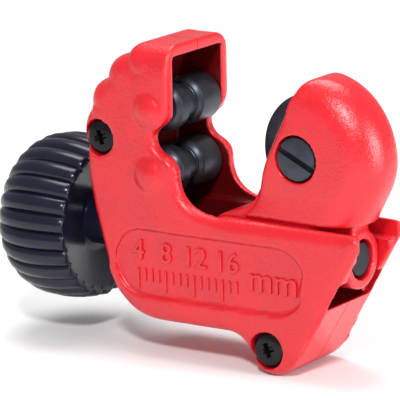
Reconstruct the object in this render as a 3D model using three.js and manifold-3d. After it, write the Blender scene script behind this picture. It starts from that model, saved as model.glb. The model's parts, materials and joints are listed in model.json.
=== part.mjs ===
// Mini tube cutter: two cast half shells hold a pair of rollers and a captive lead screw, and the
// screw draws a carriage with the cutting wheel along a channel towards the rollers.
// Millimetres, +Z up. X runs along the lead screw from the knob to the carriage, and Y is the
// thickness, with the seam between the two shells on Y = 0. Pieces are laid out about the lead screw's
// axis, and the group then moves the whole tool so that its origin is at the bottom centre of its box.
import * as THREE from 'three';
import { mergeVertices } from 'three/addons/utils/BufferGeometryUtils.js';
import Module from 'manifold-3d';

// ---- driving dimensions ----
const CLEARANCE = 0.3;          // between pieces that slide, turn or press together
const SEAM_GAP = 0.1;           // between the two shells
const ARM_HALF = 8.4;           // half thickness of the body at the roller arm
const END_HALF = 6.7;           // half thickness of the body at its right end
const TAPER_START = -0.5;       // X where the body starts to thin towards the right end
const BODY_RIGHT = 32.2;
const BODY_FILLET = 1.6;
const BAR_TOP = 5.2;
const BODY_BOTTOM = -12.3;
const MOUTH_X = 0.2;            // the hood's open edge
const HOOD_TOP = 30.1;
const CAVITY_HALF = 6.4;        // half width of the roller cavity
const CHANNEL_HALF = 5.4;       // half width of the carriage's channel
const CHANNEL_FLOOR = -6.7;
const CHANNEL_LEFT = -6.8;
const GUIDE_LEFT = 25.6;        // from here the channel's walls hug the carriage's boss
const GUIDE_LOW = -2.6;
const GUIDE_HIGH = 2.4;
const LIP_HALF = 6;             // half width of the channel under the guides
const POCKET_DEPTH = 0.6;       // the recessed panel on each shell's face

const ROLLER_R = 3.7;
const ROLLER_REAR = CAVITY_HALF - CLEARANCE;
const ROLLER_FRONT = -4.9;
const GROOVE_FRONT = -1.8;      // the groove that lets the wheel's edge in past the tube
const GROOVE_REAR = 0.6;
const ROLLER_X = -3.4;
const ROLLER_PITCH = 9.8;
const PIN_R = 1.25;
const PIN_HALF = 7.5;
const BUMP_R = 2.6;             // the raised pads over the pins' ends
const BUMP_HEIGHT = 0.9;

const WHEEL_X = 21.1;
const WHEEL_Z = 15.2;
const WHEEL_R = 9;
const WHEEL_HUB_HALF = 2.3;
const CARRIAGE_HALF = 5.7;
const CARRIAGE_FILLET = 1.2;
const SLOT_HALF = WHEEL_HUB_HALF + CLEARANCE;
const AXLE_R = 2.3;
const AXLE_HEAD_R = 3.4;
const AXLE_SLOT_TILT = THREE.MathUtils.degToRad(25);

const SCREW_R = 2.7;            // the lead screw, without its thread
const SCREW_RIGHT = 28.8;
const BOSS_R = 4.5;
const BOSS_FACE = 29.2;
const SEAT_X = -11.2;           // the flat seat in the body's left side that takes the screw's thrust
const COLLAR_WALL_X = -8.9;     // the inner face of the same wall

const KNOB_LEFT = -33.2;
const KNOB_FACE = -17.4;
const KNOB_RIBS = 26;
const KNOB_RIB_DEPTH = 0.8;
const HUB_R = 3.9;

const BODY_SCREWS = [
  { name: 'upper_body_screw', x: -12.5, z: 15.1, half: ARM_HALF },
  { name: 'lower_body_screw', x: 16.7, z: -14.1, half: halfThickness(16.7) },
];
const SCREW_HEAD_R = 2.55;
const SCREW_SHANK_R = 1.35;

// ---- materials ----
const paint = () => new THREE.MeshStandardMaterial({ color: 0xd81e2a, roughness: 0.38, metalness: 0 });
const plastic = () => new THREE.MeshStandardMaterial({ color: 0x14162a, roughness: 0.25, metalness: 0 });
const blackSteel = () => new THREE.MeshStandardMaterial({ color: 0x2b2f38, roughness: 0.35, metalness: 1 });
const plainSteel = () => new THREE.MeshStandardMaterial({ color: 0x6d747d, roughness: 0.4, metalness: 1 });

// ---- solids ----
const wasm = await Module();
wasm.setup();

// The closed geometry as a solid that can be joined and cut.
function solid(geometry) {
  geometry.deleteAttribute('normal');
  geometry.deleteAttribute('uv');
  const merged = mergeVertices(geometry, 1e-4);
  const vertProperties = new Float32Array(merged.attributes.position.array);
  const triVerts = new Uint32Array(merged.index.array);
  return new wasm.Manifold(new wasm.Mesh({ numProp: 3, vertProperties, triVerts }));
}

function join(...pieces) {
  return pieces.reduce((whole, piece) => whole.add(piece));
}

function cut(blank, ...tools) {
  return tools.reduce((whole, tool) => whole.subtract(tool), blank);
}

function piece(name, shape, material, position = [0, 0, 0]) {
  const { numProp, vertProperties, triVerts } = shape.getMesh();
  const geometry = new THREE.BufferGeometry();
  const positions = new THREE.BufferAttribute(new Float32Array(vertProperties), numProp);
  geometry.setAttribute('position', positions);
  geometry.setIndex(new THREE.BufferAttribute(new Uint32Array(triVerts), 1));
  geometry.computeVertexNormals();
  const mesh = new THREE.Mesh(geometry, material);
  mesh.name = name;
  mesh.position.set(...position);
  return mesh;
}

function box(x0, x1, y0, y1, z0, z1) {
  const geometry = new THREE.BoxGeometry(x1 - x0, y1 - y0, z1 - z0);
  return solid(geometry.translate((x0 + x1) / 2, (y0 + y1) / 2, (z0 + z1) / 2));
}

function cylinderX(radius, x0, x1, y = 0, z = 0, sides = 32) {
  const geometry = new THREE.CylinderGeometry(radius, radius, x1 - x0, sides);
  return solid(geometry.rotateZ(Math.PI / 2).translate((x0 + x1) / 2, y, z));
}

function cylinderY(radius, y0, y1, x, z, sides = 28) {
  const geometry = new THREE.CylinderGeometry(radius, radius, y1 - y0, sides);
  return solid(geometry.translate(x, (y0 + y1) / 2, z));
}

// An outline in X and Z, extruded along Y from -half to half, with its edges rounded by fillet.
function plate(outline, half, fillet = 0, curveSegments = 5) {
  const geometry = new THREE.ExtrudeGeometry(outline, {
    depth: 2 * (half - fillet),
    curveSegments,
    bevelEnabled: fillet > 0,
    bevelThickness: fillet,
    bevelSize: fillet,
    bevelOffset: -fillet,
    bevelSegments: 2,
  });
  return solid(geometry.rotateX(Math.PI / 2).translate(0, half - fillet, 0));
}

// A turned profile of [radius, height] points, spun about Y, or about X with the height along X.
function turnedY(profile, sides) {
  return solid(new THREE.LatheGeometry(profile.map(([r, h]) => new THREE.Vector2(r, h)), sides));
}

function turnedX(profile, sides) {
  const points = profile.map(([r, h]) => new THREE.Vector2(r, h));
  return solid(new THREE.LatheGeometry(points, sides).rotateZ(-Math.PI / 2));
}

function polygon(points) {
  return new THREE.Shape(points.map(([x, z]) => new THREE.Vector2(x, z)));
}

// ---- the housing ----
function halfThickness(x) {
  const along = Math.max(0, (x - TAPER_START) / (BODY_RIGHT - TAPER_START));
  return ARM_HALF - along * (ARM_HALF - END_HALF);
}

const rollerHeights = [WHEEL_Z + ROLLER_PITCH / 2, WHEEL_Z - ROLLER_PITCH / 2];

// The body's outline at the seam. Four finger scallops run up the back of the arm to the hood.
function bodyOutline() {
  const s = new THREE.Shape();
  s.moveTo(-10.9, -6.4);
  s.lineTo(-12.1, -2.6);
  s.lineTo(-14, 4);
  s.lineTo(-15, 8.9);
  s.lineTo(-15.3, 13.1);
  s.quadraticCurveTo(-17.4, 17.3, -14.6, 19.6);
  s.quadraticCurveTo(-14.6, 23.2, -11.6, 24.2);
  s.quadraticCurveTo(-10.8, 27.6, -7.8, 28.2);
  s.quadraticCurveTo(-6.3, 30.9, -3.6, HOOD_TOP);
  s.lineTo(MOUTH_X, HOOD_TOP);
  s.lineTo(MOUTH_X, 19.2);
  s.lineTo(-2.6, 16.6);
  s.lineTo(-2.6, 14.9);
  s.lineTo(1, 11.8);
  s.quadraticCurveTo(1, 5.6, 7.4, BAR_TOP);
  s.lineTo(BODY_RIGHT, BAR_TOP);
  s.lineTo(BODY_RIGHT, 2.6);
  s.lineTo(26.8, CHANNEL_FLOOR);
  s.lineTo(21.4, -15.9);
  s.quadraticCurveTo(17.6, -20.1, 14.2, -16.2);
  s.quadraticCurveTo(12.7, -12.5, 9.4, BODY_BOTTOM);
  s.lineTo(-3.2, BODY_BOTTOM);
  s.quadraticCurveTo(-8.9, -11.9, -10.9, -6.4);
  return s;
}

// Both sides lose a wedge, so that the body thins towards its right end.
function taperWedge(side) {
  const outer = ARM_HALF + 4;
  const points = [
    [TAPER_START, ARM_HALF], [TAPER_START, outer],
    [BODY_RIGHT + 4, outer], [BODY_RIGHT + 4, halfThickness(BODY_RIGHT + 4)],
  ];
  const wedge = new THREE.ExtrudeGeometry(polygon(points), { depth: 60, bevelEnabled: false });
  wedge.translate(0, 0, -25);
  return solid(side > 0 ? wedge : wedge.rotateX(Math.PI));
}

// The hollow of the arm, which holds the rollers and lets the carriage's toe in under the lower one.
function armCavity() {
  const top = HOOD_TOP - 1.9;
  return plate(polygon([
    [MOUTH_X + 8, top], [-4.2, top], [-7.4, 26], [-8.2, 22],
    [-8.2, 4.4], [MOUTH_X + 8, 4.4],
  ]), CAVITY_HALF);
}

function bump(side, z) {
  const sphereR = (BUMP_R ** 2 + BUMP_HEIGHT ** 2) / (2 * BUMP_HEIGHT);
  const y = side * (ARM_HALF + BUMP_HEIGHT - sphereR);
  const ball = solid(new THREE.SphereGeometry(sphereR, 24, 16).rotateX(Math.PI / 2).translate(ROLLER_X, y, z));
  const face = side * ARM_HALF;
  const outside = box(-12, 6, Math.min(face - side, face + 3 * side), Math.max(face - side, face + 3 * side), 0, 30);
  return ball.intersect(outside);
}

function pocket(side) {
  const end = 5.2;
  const middle = -3.3;
  const s = new THREE.Shape();
  s.absarc(-4.8, middle, end, Math.PI / 2, -Math.PI / 2, false);
  s.absarc(18.3, middle, end, -Math.PI / 2, Math.PI / 2, false);
  const panel = new THREE.ExtrudeGeometry(s, { depth: 12, curveSegments: 10, bevelEnabled: false });
  // The panel's floor lies parallel to the tapered face, a constant depth below it.
  const slope = Math.atan((ARM_HALF - END_HALF) / (BODY_RIGHT - TAPER_START));
  panel.rotateX(Math.PI / 2);
  panel.translate(-TAPER_START, 0, 0);
  if (side > 0) panel.translate(0, 12, 0);
  panel.rotateZ(-side * slope);
  panel.translate(TAPER_START, side * (ARM_HALF - POCKET_DEPTH), 0);
  return solid(panel);
}

function bodyScrewHoles({ x, z, half }) {
  const seat = -half + 2.3;
  const head = cylinderY(SCREW_HEAD_R + CLEARANCE, -half - 2, seat, x, z);
  const shank = cylinderY(SCREW_SHANK_R + CLEARANCE, -half, half - 1.4, x, z, 16);
  return join(head, shank);
}

// The channel that the carriage slides in. Near its right end the walls close in round the boss,
// with a wider opening under them.
function carriageChannel() {
  const right = BODY_RIGHT + 5;
  const trough = box(CHANNEL_LEFT, right, -CHANNEL_HALF, CHANNEL_HALF, CHANNEL_FLOOR, 12);
  const lip = box(GUIDE_LEFT, right, -LIP_HALF, LIP_HALF, CHANNEL_FLOOR, GUIDE_LOW);
  const guides = cut(
    box(GUIDE_LEFT, BODY_RIGHT - 1, -LIP_HALF, LIP_HALF, GUIDE_LOW, GUIDE_HIGH),
    cylinderX(BOSS_R + CLEARANCE, 0, right));
  return cut(join(trough, lip), guides);
}

function housing() {
  const spindle = cylinderX(SCREW_R + CLEARANCE, -20, 0);
  const seat = cylinderX(HUB_R + 0.9, -24, SEAT_X);
  const clipRoom = cylinderX(CHANNEL_HALF - 0.1, COLLAR_WALL_X, CHANNEL_LEFT + 0.5);
  const pins = rollerHeights.map(
    (z) => cylinderY(PIN_R + CLEARANCE, -PIN_HALF - CLEARANCE, PIN_HALF + CLEARANCE, ROLLER_X, z, 20));
  const body = cut(
    plate(bodyOutline(), ARM_HALF, BODY_FILLET),
    taperWedge(1), taperWedge(-1), carriageChannel(), armCavity(), spindle, seat, clipRoom,
    ...BODY_SCREWS.map(bodyScrewHoles), pocket(1), pocket(-1));
  const bumps = rollerHeights.flatMap((z) => [bump(-1, z), bump(1, z)]);
  return cut(join(body, ...bumps), ...pins);
}

function shell(name, body, side) {
  const near = side * SEAM_GAP / 2;
  const far = side * 20;
  const half = box(-60, 60, Math.min(near, far), Math.max(near, far), -60, 60);
  return piece(name, body.intersect(half), paint());
}

function bodyScrew({ name, x, z, half }) {
  const headFace = -half + 0.5;
  const headSeat = -half + 2;
  const head = cylinderY(SCREW_HEAD_R, headFace, headSeat, x, z);
  const shank = cylinderY(SCREW_SHANK_R, headSeat - 0.1, half - 1.8, x, z, 16);
  const recess = [
    box(x - 1.5, x + 1.5, headFace - 1, headFace + 0.9, z - 0.35, z + 0.35),
    box(x - 0.35, x + 0.35, headFace - 1, headFace + 0.9, z - 1.5, z + 1.5),
  ];
  return piece(name, cut(join(head, shank), ...recess), blackSteel());
}

// ---- the rollers ----
function roller(name, z) {
  const land = 0.5;
  const bore = PIN_R + CLEARANCE;
  const core = ROLLER_R - 0.8;
  const profile = [
    [bore, ROLLER_FRONT], [ROLLER_R - land, ROLLER_FRONT], [ROLLER_R, ROLLER_FRONT + land],
    [ROLLER_R, GROOVE_FRONT - land], [ROLLER_R - land, GROOVE_FRONT], [core, GROOVE_FRONT],
    [core, GROOVE_REAR], [ROLLER_R - land, GROOVE_REAR], [ROLLER_R, GROOVE_REAR + land],
    [ROLLER_R, ROLLER_REAR - land], [ROLLER_R - land, ROLLER_REAR], [bore, ROLLER_REAR],
    [bore, ROLLER_FRONT],
  ];
  return piece(name, turnedY(profile, 32), blackSteel(), [ROLLER_X, 0, z]);
}

function rollerPin(name, z) {
  return piece(name, cylinderY(PIN_R, -PIN_HALF, PIN_HALF, ROLLER_X, z, 20), plainSteel());
}

// ---- the carriage and its wheel ----
// The dome over the wheel, with the toe whose top follows the lower roller when the jaw is closed.
function domeOutline() {
  const s = new THREE.Shape();
  s.moveTo(10.6, BAR_TOP + CLEARANCE);
  s.lineTo(12.8, 7.2);
  s.lineTo(14, 10.4);
  s.lineTo(14.6, 13.4);
  s.lineTo(19.6, 25.8);
  s.lineTo(21, 27.2);
  s.bezierCurveTo(27.8, 27.4, 34.3, 21.2, 34.3, 14.6);
  s.quadraticCurveTo(34.1, 10.6, 30.6, BAR_TOP + CLEARANCE);
  return s;
}

function carriage() {
  const half = CHANNEL_HALF - CLEARANCE;
  const floor = CHANNEL_FLOOR + CLEARANCE;
  const dome = plate(domeOutline(), CARRIAGE_HALF, CARRIAGE_FILLET, 6);
  const block = plate(polygon([
    [8, floor], [18.5, floor], [21.5, -3.4], [21.5, 2], [25.5, BAR_TOP],
    [29, BAR_TOP], [29.4, BAR_TOP + 1.6], [13.4, 9], [12.6, 7.4], [11.2, 6.4], [9.4, 5.9],
    [7.8, 5.4], [6.6, 4.6], [8, 3.2],
  ]), half);
  const boss = cylinderX(BOSS_R, 18, BOSS_FACE);
  const web = box(20, BOSS_FACE, -2.2, 2.2, 3, BAR_TOP + 1);
  const thread = cylinderX(SCREW_R + CLEARANCE, 0, BOSS_FACE + 2);
  const slotR = WHEEL_R + 0.8;
  const slot = join(
    cylinderY(slotR, -SLOT_HALF, SLOT_HALF, WHEEL_X, WHEEL_Z, 36),
    box(WHEEL_X - slotR - 4, WHEEL_X, -SLOT_HALF, SLOT_HALF, WHEEL_Z - slotR + 1.5, WHEEL_Z + slotR));
  const axleHead = cylinderY(AXLE_HEAD_R + CLEARANCE, -8, -CARRIAGE_HALF + 1.9, WHEEL_X, WHEEL_Z);
  const axleHole = cylinderY(AXLE_R + CLEARANCE, -8, 8, WHEEL_X, WHEEL_Z, 24);
  const shape = cut(join(dome, block, boss, web), thread, slot, axleHead, axleHole);
  return piece('carriage', shape, paint());
}

function cutterWheel() {
  const bore = AXLE_R + CLEARANCE;
  const profile = [
    [bore, -WHEEL_HUB_HALF], [4.4, -WHEEL_HUB_HALF], [4.8, -1.2], [6.8, -1], [WHEEL_R, -0.06],
    [WHEEL_R, 0.06], [6.8, 1], [4.8, 1.2], [4.4, WHEEL_HUB_HALF], [bore, WHEEL_HUB_HALF],
    [bore, -WHEEL_HUB_HALF],
  ];
  return piece('cutter_wheel', turnedY(profile, 48), blackSteel(), [WHEEL_X, 0, WHEEL_Z]);
}

function wheelAxleScrew() {
  const face = -CARRIAGE_HALF + 0.2;
  const seat = -CARRIAGE_HALF + 1.6;
  const head = cylinderY(AXLE_HEAD_R, face, seat, 0, 0, 36);
  const shank = cylinderY(AXLE_R, seat - 0.1, CARRIAGE_HALF - 0.2, 0, 0, 24);
  const slot = new THREE.BoxGeometry(2 * AXLE_HEAD_R + 1, 1.6, 0.9).rotateY(AXLE_SLOT_TILT);
  const shape = cut(join(head, shank), solid(slot.translate(0, face, 0)));
  return piece('wheel_axle_screw', shape, blackSteel(), [WHEEL_X, 0, WHEEL_Z]);
}

// ---- the spindle ----
const CLIP_X = -8.2;            // the left face of the retaining clip
const CLIP_THICKNESS = 0.7;

function leadScrew() {
  const grooveR = SCREW_R - 0.6;
  const left = -28;
  const driveR = SCREW_R + 0.2;
  const driveRight = -16;
  const chamfer = 0.5;
  const clipRight = CLIP_X + CLIP_THICKNESS + 0.1;
  return piece('lead_screw', turnedX([
    [0, left], [driveR, left], [driveR, driveRight], [SCREW_R, driveRight],
    [SCREW_R, CLIP_X - 0.1], [grooveR, CLIP_X - 0.1], [grooveR, clipRight],
    [SCREW_R, clipRight], [SCREW_R, SCREW_RIGHT - chamfer], [SCREW_R - chamfer, SCREW_RIGHT],
    [0, SCREW_RIGHT],
  ], 28), plainSteel());
}

function ringX(name, inner, outer, x0, x1, material) {
  return piece(name, cut(cylinderX(outer, x0, x1), cylinderX(inner, x0 - 1, x1 + 1)), material);
}

function retainingClip() {
  const right = CLIP_X + CLIP_THICKNESS;
  const disc = cylinderX(CHANNEL_HALF - 1, CLIP_X, right);
  const throat = box(CLIP_X - 1, right + 1, -1.7, 1.7, 0, 8);
  const shaft = cylinderX(SCREW_R - 0.3, CLIP_X - 1, right + 1);
  return piece('retaining_clip', cut(disc, throat, shaft), plainSteel());
}

// The grip is a barrel whose ribs fade into a domed end; its right face is dished round the hub.
function knob() {
  const barrel = turnedX([
    [0, KNOB_LEFT], [5.5, KNOB_LEFT + 0.2], [8.6, -32.2], [11, -30.4], [12.4, -28],
    [12.9, -24.4], [12.6, -20.4], [11.9, KNOB_FACE], [10.6, KNOB_FACE], [4.9, -19.6],
    [HUB_R, -19.6], [HUB_R, SEAT_X - 1.1], [0, SEAT_X - 1.1],
  ], 52);
  const fluted = [];
  const stepsPerRib = 4;
  for (let i = 0; i < KNOB_RIBS * stepsPerRib; i += 1) {
    const phase = (i % stepsPerRib) / stepsPerRib;
    const radius = 12.9 - KNOB_RIB_DEPTH * (1 - Math.sin(Math.PI * phase));
    const turn = (2 * Math.PI * i) / (KNOB_RIBS * stepsPerRib);
    fluted.push([radius * Math.cos(turn), radius * Math.sin(turn)]);
  }
  const ribs = new THREE.ExtrudeGeometry(polygon(fluted), { depth: 40, bevelEnabled: false });
  ribs.rotateY(Math.PI / 2).translate(KNOB_LEFT - 1, 0, 0);
  const socket = cylinderX(SCREW_R + 0.2 + CLEARANCE, -28 - CLEARANCE, 0);
  return piece('knob', cut(barrel.intersect(solid(ribs)), socket), plastic());
}

// ---- the tool ----
const body = housing();
const tool = new THREE.Group();
tool.add(
  shell('front_shell', body, -1),
  shell('rear_shell', body, 1),
  ...BODY_SCREWS.map(bodyScrew),
  roller('upper_roller', rollerHeights[0]),
  roller('lower_roller', rollerHeights[1]),
  rollerPin('upper_roller_pin', rollerHeights[0]),
  rollerPin('lower_roller_pin', rollerHeights[1]),
  carriage(),
  cutterWheel(),
  wheelAxleScrew(),
  leadScrew(),
  knob(),
  ringX('thrust_washer', SCREW_R + CLEARANCE, HUB_R + 0.4, SEAT_X - 0.9, SEAT_X - 0.15, plainSteel()),
  ringX('spring_washer', SCREW_R + CLEARANCE, HUB_R + 0.6, COLLAR_WALL_X + 0.15, CLIP_X - 0.1, plainSteel()),
  retainingClip(),
);

// The origin goes to the bottom centre of the tool's box.
const bounds = new THREE.Box3().setFromObject(tool);
const centre = bounds.getCenter(new THREE.Vector3());
tool.position.set(-centre.x, -centre.y, -bounds.min.z);

export default tool;
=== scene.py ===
import json
import math

import bmesh
import bpy
from bpy.props import FloatProperty, FloatVectorProperty, IntProperty, PointerProperty
from mathutils import Matrix, Vector


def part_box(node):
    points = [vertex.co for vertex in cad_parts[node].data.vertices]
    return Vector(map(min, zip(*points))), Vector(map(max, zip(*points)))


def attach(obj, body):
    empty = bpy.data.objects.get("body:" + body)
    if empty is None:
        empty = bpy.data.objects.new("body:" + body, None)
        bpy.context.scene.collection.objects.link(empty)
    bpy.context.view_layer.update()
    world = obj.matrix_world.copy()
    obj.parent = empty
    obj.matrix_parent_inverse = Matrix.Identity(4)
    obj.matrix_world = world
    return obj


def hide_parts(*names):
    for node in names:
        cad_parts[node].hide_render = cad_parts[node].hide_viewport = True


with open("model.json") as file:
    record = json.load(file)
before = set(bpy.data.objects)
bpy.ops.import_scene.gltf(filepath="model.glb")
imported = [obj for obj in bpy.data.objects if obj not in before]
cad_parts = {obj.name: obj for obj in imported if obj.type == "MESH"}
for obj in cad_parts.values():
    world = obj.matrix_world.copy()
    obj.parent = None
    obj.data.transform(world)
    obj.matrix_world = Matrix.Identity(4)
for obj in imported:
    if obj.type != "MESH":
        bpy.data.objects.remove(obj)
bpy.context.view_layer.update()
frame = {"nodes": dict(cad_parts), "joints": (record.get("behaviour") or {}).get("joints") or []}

bl_info = {
    "name": "Tube Cutter",
    "version": (1, 0, 0),
    "blender": (4, 5, 0),
    "location": "View3D > Sidebar > Tube Cutter",
    "description": "Builds a mini tube cutter round its mechanical frame",
    "category": "Object",
}

MM = 0.001


# ---- what the frame says ----
def joint(name):
    return next(j for j in frame["joints"] if j["name"] == name)


SCREW_AXIS = Vector(joint("knob_turn")["pos_m"])


def about_axis(point):
    """A point of the frame, in millimetres from the lead screw's axis."""
    return (Vector(point) - SCREW_AXIS) / MM


def node_span(node):
    """A node's lowest and highest corners, in millimetres about the lead screw's axis."""
    low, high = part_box(node)
    return about_axis(low), about_axis(high)


WHEEL_AT = about_axis(joint("cutter_wheel_spin")["pos_m"])
ROLLERS_AT = {
    "upper_roller": about_axis(joint("upper_roller_spin")["pos_m"]),
    "lower_roller": about_axis(joint("lower_roller_spin")["pos_m"]),
}
SHELL_LOW, SHELL_HIGH = node_span("front_shell")
KNOB_LOW, KNOB_HIGH = node_span("knob")
BODY_SCREWS = ("upper_body_screw", "lower_body_screw")

# ---- sizes of the casting, in millimetres ----
ARM_HALF = 8.4          # half the body's thickness at the roller arm
END_HALF = 6.7          # and at its right end
TAPER_START = -0.5
BODY_RIGHT = SHELL_HIGH.x
BAR_TOP = 5.2
BODY_BOTTOM = -12.3
MOUTH_X = 0.2
HOOD_TOP = SHELL_HIGH.z
CAVITY_HALF = 6.4
CHANNEL_HALF = 5.4
CHANNEL_FLOOR = -6.7
WALL_TOP = 1.9          # the hood's wall
SEAM_GAP = 0.12
BODY_FILLET = 4.8       # the largest one, which body_rim shares out
HOOD_FILLET = 3.8
PANEL_DEPTH = 0.65
SCREW_R = 3.0
BOSS_R = 4.5
BOSS_FACE = 29.2
KNOB_FACE = -17.4       # the right rim of the grip, round the dish
DOME_HALF = 5.7
DOME_FILLET = 5.1
DOME_FLOOR = BAR_TOP + 0.2
WHEEL_SLOT_HALF = 2.6
CAST_SHARP = 50         # degrees: sharper edges than this stay hard on the castings
TURNED_SHARP = 28       # and on turned pieces


class TubeCutterSettings(bpy.types.PropertyGroup):
    paint: FloatVectorProperty(
        name="Paint", description="Colour of the painted castings", subtype="COLOR",
        size=3, min=0, max=1, default=(0.63, 0.007, 0.016))
    paint_roughness: FloatProperty(
        name="Paint roughness", description="Roughness of the satin paint",
        default=0.27, min=0, max=1, subtype="FACTOR")
    peel_size: FloatProperty(
        name="Grain size", description="Size of the paint's grain, in millimetres",
        default=0.34, min=0.05, max=3)
    plastic: FloatVectorProperty(
        name="Knob colour", description="Colour of the moulded knob", subtype="COLOR",
        size=3, min=0, max=1, default=(0.006, 0.007, 0.019))
    oxide: FloatVectorProperty(
        name="Black oxide", description="Colour of the rollers and the cutting wheel",
        subtype="COLOR", size=3, min=0, max=1, default=(0.045, 0.05, 0.064))
    voxel: FloatProperty(
        name="Casting detail", description="Size of the casting's surface mesh, in millimetres",
        default=0.25, min=0.1, max=2)
    knob_ribs: IntProperty(
        name="Ribs", description="Number of ribs round the knob", default=26, min=8, max=60)
    rib_depth: FloatProperty(
        name="Rib depth", description="Depth of the grooves between the ribs, in millimetres",
        default=0.85, min=0, max=3)
    thread_pitch: FloatProperty(
        name="Thread pitch", description="Pitch of the lead screw, in millimetres",
        default=1.0, min=0.5, max=2)


def settings():
    return bpy.context.scene.tube_cutter


# ---- mesh tools ----
def curve(p0, control, p1, steps):
    """Points along a quadratic curve, without its first point."""
    points = []
    for i in range(1, steps + 1):
        t = i / steps
        points.append(tuple(
            (1 - t) ** 2 * a + 2 * t * (1 - t) * c + t * t * b for a, c, b in zip(p0, control, p1)))
    return points


def arc(centre, radius, start, end, steps):
    """Points along an arc, with angles in degrees."""
    angles = [math.radians(start + (end - start) * i / steps) for i in range(steps + 1)]
    return [(centre[0] + radius * math.cos(a), centre[1] + radius * math.sin(a)) for a in angles]


def path(start, *moves, steps=8):
    """An outline: each move is a point to go straight to, or a control point and an end point."""
    points = [start]
    for move in moves:
        if isinstance(move[0], tuple):
            points += curve(points[-1], move[0], move[1], steps)
        else:
            points.append(move)
    return points


def as_object(bm, name):
    bmesh.ops.recalc_face_normals(bm, faces=bm.faces)
    mesh = bpy.data.meshes.new(name)
    bm.to_mesh(mesh)
    bm.free()
    obj = bpy.data.objects.new(name, mesh)
    bpy.context.scene.collection.objects.link(obj)
    return obj


def plate(points, low, high, weight=None):
    """An outline in X and Z grown along Y. weight gives each rim edge its share of a bevel."""
    bm = bmesh.new()
    face = bm.faces.new([bm.verts.new((x, low, z)) for x, z in points])
    grown = bmesh.ops.extrude_face_region(bm, geom=[face])
    moved = [v for v in grown["geom"] if isinstance(v, bmesh.types.BMVert)]
    bmesh.ops.translate(bm, verts=moved, vec=(0, high - low, 0))
    if weight:
        layer = bm.edges.layers.float.new("bevel_weight_edge")
        for edge in bm.edges:
            a, b = edge.verts
            if abs(a.co.y - b.co.y) < 1e-6:
                middle = (a.co + b.co) / 2
                edge[layer] = weight(middle.x, middle.z)
    return as_object(bm, "plate")


def block(low, high, bevel=0):
    bm = bmesh.new()
    bmesh.ops.create_cube(bm, size=1)
    size = Vector(high) - Vector(low)
    bmesh.ops.scale(bm, vec=size, verts=bm.verts)
    bmesh.ops.translate(bm, vec=(Vector(high) + Vector(low)) / 2, verts=bm.verts)
    if bevel:
        round_edges(bm, bm.edges[:], bevel, 3)
    return as_object(bm, "block")


def round_edges(bm, edges, offset, segments):
    bmesh.ops.bevel(
        bm, geom=edges, offset=offset, offset_type="OFFSET", segments=segments,
        profile=0.5, affect="EDGES", clamp_overlap=True, material=-1)


AXIS_TURNS = {
    "X": Matrix.Rotation(math.pi / 2, 4, "Y"),
    "Y": Matrix.Rotation(-math.pi / 2, 4, "X"),
}


def turned(profile, axis, steps=64, at=(0, 0, 0)):
    """A profile of (radius, height) points spun about an axis. Points at radius 0 close its ends."""
    bm = bmesh.new()
    verts = [bm.verts.new((r, 0, h)) for r, h in profile]
    edges = [bm.edges.new(pair) for pair in zip(verts, verts[1:])]
    if profile[0] == profile[-1]:
        bmesh.ops.remove_doubles(bm, verts=bm.verts, dist=1e-5)
        edges = bm.edges[:]
    bmesh.ops.spin(
        bm, geom=edges + bm.verts[:], angle=2 * math.pi, steps=steps, axis=(0, 0, 1),
        cent=(0, 0, 0), use_merge=True)
    bmesh.ops.remove_doubles(bm, verts=bm.verts, dist=1e-5)
    bmesh.ops.transform(bm, matrix=Matrix.Translation(at) @ AXIS_TURNS[axis], verts=bm.verts)
    return as_object(bm, "turned")


def rod(radius, low, high, axis, at=(0, 0, 0), steps=48, bevel=0.0):
    """A cylinder along an axis, from low to high, with bevelled ends."""
    if bevel:
        corner = [(radius - bevel + bevel * math.sin(a), bevel * (1 - math.cos(a)))
                  for a in (i * math.pi / 8 for i in range(5))]
        ends = [(r, low + h) for r, h in corner] + [(r, high - h) for r, h in reversed(corner)]
    else:
        ends = [(radius, low), (radius, high)]
    return turned([(0, low)] + ends + [(0, high)], axis, steps, at)


def bake(obj):
    """Applies the object's modifiers."""
    depsgraph = bpy.context.evaluated_depsgraph_get()
    mesh = bpy.data.meshes.new_from_object(obj.evaluated_get(depsgraph))
    old = obj.data
    obj.modifiers.clear()
    obj.data = mesh
    bpy.data.meshes.remove(old)
    return obj


def discard(obj):
    mesh = obj.data
    bpy.data.objects.remove(obj)
    bpy.data.meshes.remove(mesh)


def combine(obj, others, operation):
    """Joins the others to the object, or cuts them out of it."""
    for other in others:
        step = obj.modifiers.new("combine", "BOOLEAN")
        step.operation = operation
        step.object = other
        step.solver = "MANIFOLD"
    bake(obj)
    for other in others:
        discard(other)
    return obj


def bevel_by_weight(obj, width, segments):
    step = obj.modifiers.new("fillet", "BEVEL")
    step.limit_method = "WEIGHT"
    step.width = width
    step.segments = segments
    step.use_clamp_overlap = False
    return bake(obj)


def cast(obj, voxel, passes):
    """Turns a crisp solid into a casting: an even mesh with its edges softened."""
    remesh = obj.modifiers.new("skin", "REMESH")
    remesh.mode = "VOXEL"
    remesh.voxel_size = voxel
    soften = obj.modifiers.new("soften", "SMOOTH")
    soften.factor = 0.5
    soften.iterations = passes
    return bake(obj)


def put_in_frame(obj, name, material, body, nodes, sharp):
    """Gives a finished mesh its place, name, material, CAD body and sharp edges, from an angle on."""
    obj.name = name
    obj.data.name = name
    obj.data.transform(Matrix.Translation(SCREW_AXIS) @ Matrix.Scale(MM, 4))
    obj.data.materials.clear()
    obj.data.materials.append(material)
    obj.data.shade_smooth()
    obj.data.set_sharp_from_angle(angle=math.radians(sharp))
    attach(obj, body)
    if nodes:
        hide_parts(*nodes)
    return obj


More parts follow.
